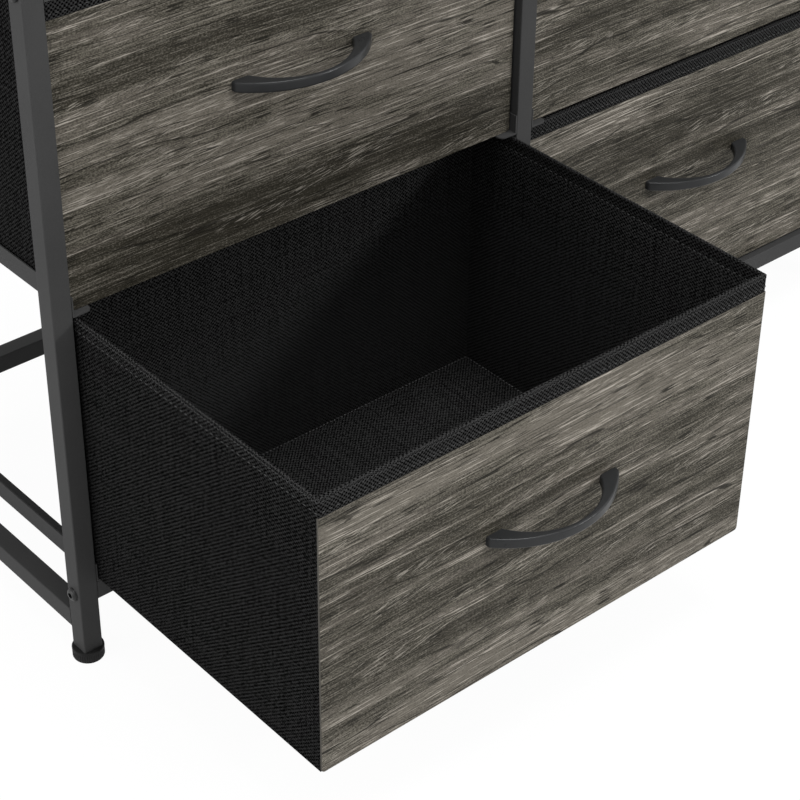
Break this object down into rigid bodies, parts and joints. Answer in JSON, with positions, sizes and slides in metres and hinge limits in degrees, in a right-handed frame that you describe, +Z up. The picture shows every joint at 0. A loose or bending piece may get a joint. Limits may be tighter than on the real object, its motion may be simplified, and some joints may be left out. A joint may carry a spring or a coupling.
{
  "type": "fabric drawer dresser",
  "caption": "Bolted frame of square steel tube on levelling feet, with a top board and soft fabric drawers that slide on angle runners and have printed wood fronts and bow handles.",
  "frame": {"origin": "on the floor, in the middle of the underside of the foot of the front post between the columns", "axes": "+X to the right as seen from in front, +Y to the back, +Z up"},
  "size_m": [0.8186, 0.5703, 0.9768],
  "materials": {
    "frame_steel": "matt black-grey powder coat",
    "runner_steel": "matt black-grey powder coat",
    "bolt_steel": "blackened steel",
    "screw_steel": "blackened steel",
    "foot_plastic": "matt black moulded plastic",
    "plug_plastic": "matt black moulded plastic",
    "top_board_wood": "printed grey-brown wood grain, matt",
    "panel_wood": "printed grey-brown wood grain, matt",
    "floor_board_wood": "board wrapped in black non-woven fabric",
    "bin_fabric": "black coarse woven fabric with a stitched hem",
    "handle_metal": "satin black-grey lacquer"
  },
  "bodies": {
    "frame": {"left_front_post": "frame_steel", "left_rear_post": "frame_steel", "middle_front_post": "frame_steel", "middle_rear_post": "frame_steel", "right_front_post": "frame_steel", "right_rear_post": "frame_steel", "base_side_rails": "frame_steel", "top_side_rails": "frame_steel", "bottom_cross_rails": "frame_steel", "middle_cross_rails": "frame_steel", "top_cross_rails": "frame_steel", "left_frame_runners": "runner_steel", "middle_frame_runners": "runner_steel", "right_frame_runners": "runner_steel", "levelling_feet": "foot_plastic", "foot_plugs": "plug_plastic", "frame_bolts": "bolt_steel", "joining_studs": "bolt_steel", "top_board": "top_board_wood", "top_board_screws": "screw_steel"},
    "drawer_left_1": {"bin_left_1": "bin_fabric", "front_panel_left_1": "panel_wood", "floor_board_left_1": "floor_board_wood", "handle_left_1": "handle_metal", "handle_screws_left_1": "screw_steel"},
    "drawer_left_2": {"bin_left_2": "bin_fabric", "front_panel_left_2": "panel_wood", "floor_board_left_2": "floor_board_wood", "handle_left_2": "handle_metal", "handle_screws_left_2": "screw_steel"},
    "drawer_left_3": {"bin_left_3": "bin_fabric", "front_panel_left_3": "panel_wood", "floor_board_left_3": "floor_board_wood", "handle_left_3": "handle_metal", "handle_screws_left_3": "screw_steel"},
    "drawer_left_4": {"bin_left_4": "bin_fabric", "front_panel_left_4": "panel_wood", "floor_board_left_4": "floor_board_wood", "handle_left_4": "handle_metal", "handle_screws_left_4": "screw_steel"},
    "drawer_right_1": {"bin_right_1": "bin_fabric", "front_panel_right_1": "panel_wood", "floor_board_right_1": "floor_board_wood", "handle_right_1": "handle_metal", "handle_screws_right_1": "screw_steel"},
    "drawer_right_2": {"bin_right_2": "bin_fabric", "front_panel_right_2": "panel_wood", "floor_board_right_2": "floor_board_wood", "handle_right_2": "handle_metal", "handle_screws_right_2": "screw_steel"},
    "drawer_right_3": {"bin_right_3": "bin_fabric", "front_panel_right_3": "panel_wood", "floor_board_right_3": "floor_board_wood", "handle_right_3": "handle_metal", "handle_screws_right_3": "screw_steel"},
    "drawer_right_4": {"bin_right_4": "bin_fabric", "front_panel_right_4": "panel_wood", "floor_board_right_4": "floor_board_wood", "handle_right_4": "handle_metal", "handle_screws_right_4": "screw_steel"}
  },
  "joints": [
    {"name": "drawer_left_1_slide", "type": "slide", "parent": "frame", "child": "drawer_left_1", "axis": [0, -1, 0], "range_m": [-0.25, 0.02]},
    {"name": "drawer_left_2_slide", "type": "slide", "parent": "frame", "child": "drawer_left_2", "axis": [0, -1, 0], "range_m": [0, 0.27]},
    {"name": "drawer_left_3_slide", "type": "slide", "parent": "frame", "child": "drawer_left_3", "axis": [0, -1, 0], "range_m": [0, 0.27]},
    {"name": "drawer_left_4_slide", "type": "slide", "parent": "frame", "child": "drawer_left_4", "axis": [0, -1, 0], "range_m": [0, 0.27]},
    {"name": "drawer_right_1_slide", "type": "slide", "parent": "frame", "child": "drawer_right_1", "axis": [0, -1, 0], "range_m": [0, 0.27]},
    {"name": "drawer_right_2_slide", "type": "slide", "parent": "frame", "child": "drawer_right_2", "axis": [0, -1, 0], "range_m": [0, 0.27]},
    {"name": "drawer_right_3_slide", "type": "slide", "parent": "frame", "child": "drawer_right_3", "axis": [0, -1, 0], "range_m": [0, 0.27]},
    {"name": "drawer_right_4_slide", "type": "slide", "parent": "frame", "child": "drawer_right_4", "axis": [0, -1, 0], "range_m": [0, 0.27]}
  ]
}
